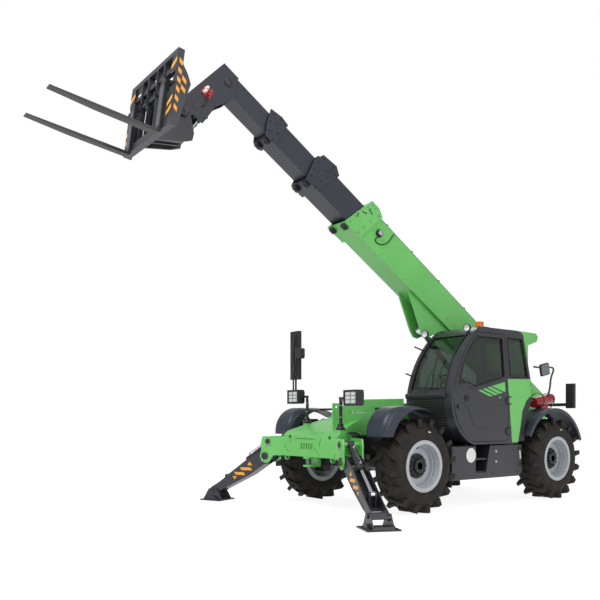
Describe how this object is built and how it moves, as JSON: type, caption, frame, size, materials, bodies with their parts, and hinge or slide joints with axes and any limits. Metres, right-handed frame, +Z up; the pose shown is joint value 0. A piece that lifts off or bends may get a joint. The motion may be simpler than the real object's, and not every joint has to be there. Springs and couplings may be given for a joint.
{
  "type": "telescopic handler",
  "caption": "Telescopic handler with four-wheel steering, side cab, telescoping boom with pallet forks, and two front stabiliser legs",
  "frame": {"origin": "on the ground, below the middle of the whole length and width", "axes": "+X forward, +Y to the machine's left (the cab side), +Z up"},
  "size_m": [8.8706, 3.9758, 5.5847],
  "materials": {
    "green_paint": "gloss",
    "slate_paint": "satin",
    "dark_panel": "satin",
    "guard_slate": "matte",
    "tyre_rubber": "matte",
    "rim_silver": "satin",
    "hub_black": "satin",
    "steel_dark": "satin",
    "rod_chrome": "polished",
    "window_glass": "clear",
    "seat_cover": "woven",
    "lamp_black": "gloss",
    "extinguisher_red": "gloss",
    "fork_steel": "satin"
  },
  "bodies": {
    "chassis": {"chassis_frame": "dark_panel", "boom_tower": "green_paint", "front_frame": "green_paint", "front_axle": "steel_dark", "rear_axle": "steel_dark", "cab_shell": "dark_panel", "cab_glass": "window_glass", "cab_interior": "lamp_black", "seat": "seat_cover", "mudguards": "guard_slate", "side_boxes": "dark_panel", "battery_pod": "green_paint", "battery_block": "lamp_black", "lamps": "lamp_black", "mirrors": "lamp_black", "counterweight": "slate_paint", "extinguisher": "extinguisher_red"},
    "door_leaf": {"door": "dark_panel", "door_glass": "window_glass"},
    "lid": {"pod_lid": "green_paint"},
    "boom": {"boom_base": "green_paint"},
    "section_2": {"boom_section_2": "slate_paint"},
    "section_3": {"boom_section_3": "slate_paint"},
    "section_4": {"boom_section_4": "slate_paint"},
    "fork_carriage": {"carriage": "steel_dark"},
    "left_fork": {"fork_left": "fork_steel"},
    "right_fork": {"fork_right": "fork_steel"},
    "lift_tube": {"lift_barrel": "steel_dark"},
    "lift_piston": {"lift_rod": "rod_chrome"},
    "tilt_tube": {"tilt_barrel": "steel_dark"},
    "tilt_piston": {"tilt_rod": "rod_chrome"},
    "front_left_hub": {"front_left_knuckle": "hub_black"},
    "front_left_wheel": {"front_left_rim": "rim_silver", "front_left_tyre": "tyre_rubber"},
    "front_right_hub": {"front_right_knuckle": "hub_black"},
    "front_right_wheel": {"front_right_rim": "rim_silver", "front_right_tyre": "tyre_rubber"},
    "rear_left_hub": {"rear_left_knuckle": "hub_black"},
    "rear_left_wheel": {"rear_left_rim": "rim_silver", "rear_left_tyre": "tyre_rubber"},
    "rear_right_hub": {"rear_right_knuckle": "hub_black"},
    "rear_right_wheel": {"rear_right_rim": "rim_silver", "rear_right_tyre": "tyre_rubber"},
    "leg_left": {"leg_left": "slate_paint"},
    "leg_tube_left": {"leg_barrel_left": "steel_dark"},
    "leg_piston_left": {"leg_rod_left": "rod_chrome"},
    "foot_left": {"foot_left": "slate_paint"},
    "leg_right": {"leg_right": "slate_paint"},
    "leg_tube_right": {"leg_barrel_right": "steel_dark"},
    "leg_piston_right": {"leg_rod_right": "rod_chrome"},
    "foot_right": {"foot_right": "slate_paint"}
  },
  "joints": [
    {"name": "steer_front_left", "type": "hinge", "parent": "chassis", "child": "front_left_hub", "pos_m": [-0.17032, 0.94, 0.62], "axis": [0, 0, 1], "range_deg": [-30, 30]},
    {"name": "roll_front_left", "type": "hinge", "parent": "front_left_hub", "child": "front_left_wheel", "pos_m": [-0.17032, 1.02, 0.62], "axis": [0, 1, 0], "continuous": true},
    {"name": "steer_front_right", "type": "hinge", "parent": "chassis", "child": "front_right_hub", "pos_m": [-0.17032, -0.94, 0.62], "axis": [0, 0, 1], "range_deg": [-30, 30]},
    {"name": "roll_front_right", "type": "hinge", "parent": "front_right_hub", "child": "front_right_wheel", "pos_m": [-0.17032, -1.02, 0.62], "axis": [0, 1, 0], "continuous": true},
    {"name": "steer_rear_left", "type": "hinge", "parent": "chassis", "child": "rear_left_hub", "pos_m": [-3.14032, 0.94, 0.62], "axis": [0, 0, 1], "range_deg": [-30, 30]},
    {"name": "roll_rear_left", "type": "hinge", "parent": "rear_left_hub", "child": "rear_left_wheel", "pos_m": [-3.14032, 1.02, 0.62], "axis": [0, 1, 0], "continuous": true},
    {"name": "steer_rear_right", "type": "hinge", "parent": "chassis", "child": "rear_right_hub", "pos_m": [-3.14032, -0.94, 0.62], "axis": [0, 0, 1], "range_deg": [-30, 30]},
    {"name": "roll_rear_right", "type": "hinge", "parent": "rear_right_hub", "child": "rear_right_wheel", "pos_m": [-3.14032, -1.02, 0.62], "axis": [0, 1, 0], "continuous": true},
    {"name": "door", "type": "hinge", "parent": "chassis", "child": "door_leaf", "pos_m": [-2.07532, 1.112, 1.275], "axis": [0, 0, 1], "range_deg": [0, 88]},
    {"name": "pod_lid", "type": "hinge", "parent": "chassis", "child": "lid", "pos_m": [-1.65532, -0.34, 1.35], "axis": [-1, 0, 0], "range_deg": [0, 60]},
    {"name": "boom_lift", "type": "hinge", "parent": "chassis", "child": "boom", "pos_m": [-3.60532, 0, 2.35], "axis": [0, -1, 0], "range_deg": [-36.67, 38.33]},
    {"name": "extend_2", "type": "slide", "parent": "boom", "child": "section_2", "axis": [0.8511, 0, 0.525], "range_m": [-0.55, 3]},
    {"name": "extend_3", "type": "slide", "parent": "section_2", "child": "section_3", "axis": [0.8511, 0, 0.525], "range_m": [-0.55, 3]},
    {"name": "extend_4", "type": "slide", "parent": "section_3", "child": "section_4", "axis": [0.8511, 0, 0.525], "range_m": [-0.55, 3]},
    {"name": "carriage_tilt", "type": "hinge", "parent": "section_4", "child": "fork_carriage", "pos_m": [2.76682, 0, 4.8443], "axis": [0, -1, 0], "range_deg": [-65, 20]},
    {"name": "fork_slide_left", "type": "slide", "parent": "fork_carriage", "child": "left_fork", "axis": [0, 1, 0], "range_m": [-0.045, 0.13]},
    {"name": "fork_slide_right", "type": "slide", "parent": "fork_carriage", "child": "right_fork", "axis": [0, 1, 0], "range_m": [-0.13, 0.045]},
    {"name": "lift_barrel_swing", "type": "hinge", "parent": "chassis", "child": "lift_tube", "pos_m": [-3.40532, 0, 0.85], "axis": [0, -1, 0], "range_deg": [-26.27, 27.41]},
    {"name": "lift_rod_slide", "type": "slide", "parent": "lift_tube", "child": "lift_piston", "axis": [0.7464, 0, 0.6655], "range_m": [-0.791, 0.827]},
    {"name": "tilt_barrel_swing", "type": "hinge", "parent": "section_4", "child": "tilt_tube", "pos_m": [2.14851, 0, 5.33235], "axis": [0, -1, 0], "range_deg": [-6.54, 2.7]},
    {"name": "tilt_rod_slide", "type": "slide", "parent": "tilt_tube", "child": "tilt_piston", "axis": [0.5968, 0, -0.8024], "range_m": [-0.283, 0.094]},
    {"name": "leg_swing_left", "type": "hinge", "parent": "chassis", "child": "leg_left", "pos_m": [0.78668, 0.882, 0.7], "axis": [0.9178, -0.3971, 0], "range_deg": [-9, 90]},
    {"name": "leg_barrel_swing_left", "type": "hinge", "parent": "chassis", "child": "leg_tube_left", "pos_m": [0.76682, 0.83611, 0.91], "axis": [0.9178, -0.3971, 0], "range_deg": [-9.41, 85.15]},
    {"name": "leg_rod_slide_left", "type": "slide", "parent": "leg_tube_left", "child": "leg_piston_left", "axis": [0.3263, 0.754, -0.5701], "range_m": [-0.312, 0.04]},
    {"name": "foot_pivot_left", "type": "hinge", "parent": "leg_left", "child": "foot_left", "pos_m": [1.15841, 1.74102, 0.15], "axis": [0.9178, -0.3971, 0], "range_deg": [-18, 18]},
    {"name": "leg_swing_right", "type": "hinge", "parent": "chassis", "child": "leg_right", "pos_m": [0.78668, -0.882, 0.7], "axis": [-0.9178, -0.3971, 0], "range_deg": [-9, 90]},
    {"name": "leg_barrel_swing_right", "type": "hinge", "parent": "chassis", "child": "leg_tube_right", "pos_m": [0.76682, -0.83611, 0.91], "axis": [-0.9178, -0.3971, 0], "range_deg": [-9.41, 85.15]},
    {"name": "leg_rod_slide_right", "type": "slide", "parent": "leg_tube_right", "child": "leg_piston_right", "axis": [0.3263, -0.754, -0.5701], "range_m": [-0.312, 0.04]},
    {"name": "foot_pivot_right", "type": "hinge", "parent": "leg_right", "child": "foot_right", "pos_m": [1.15841, -1.74102, 0.15], "axis": [-0.9178, -0.3971, 0], "range_deg": [-18, 18]}
  ],
  "couplings": [
    {"joint": "steer_front_right", "follows": "steer_front_left", "ratio": 1},
    {"joint": "steer_rear_left", "follows": "steer_front_left", "ratio": -1},
    {"joint": "steer_rear_right", "follows": "steer_front_left", "ratio": -1},
    {"joint": "extend_3", "follows": "extend_2", "ratio": 1},
    {"joint": "extend_4", "follows": "extend_2", "ratio": 1},
    {"joint": "lift_barrel_swing", "follows": "boom_lift", "ratio": 0.689},
    {"joint": "lift_rod_slide", "follows": "boom_lift", "m_per_rad": 1.2206},
    {"joint": "tilt_barrel_swing", "follows": "carriage_tilt", "ratio": 0.0852},
    {"joint": "tilt_rod_slide", "follows": "carriage_tilt", "m_per_rad": 0.2405},
    {"joint": "leg_barrel_swing_left", "follows": "leg_swing_left", "ratio": 0.935},
    {"joint": "leg_rod_slide_left", "follows": "leg_swing_left", "m_per_rad": -0.1921},
    {"joint": "leg_barrel_swing_right", "follows": "leg_swing_right", "ratio": 0.935},
    {"joint": "leg_rod_slide_right", "follows": "leg_swing_right", "m_per_rad": -0.1921}
  ]
}
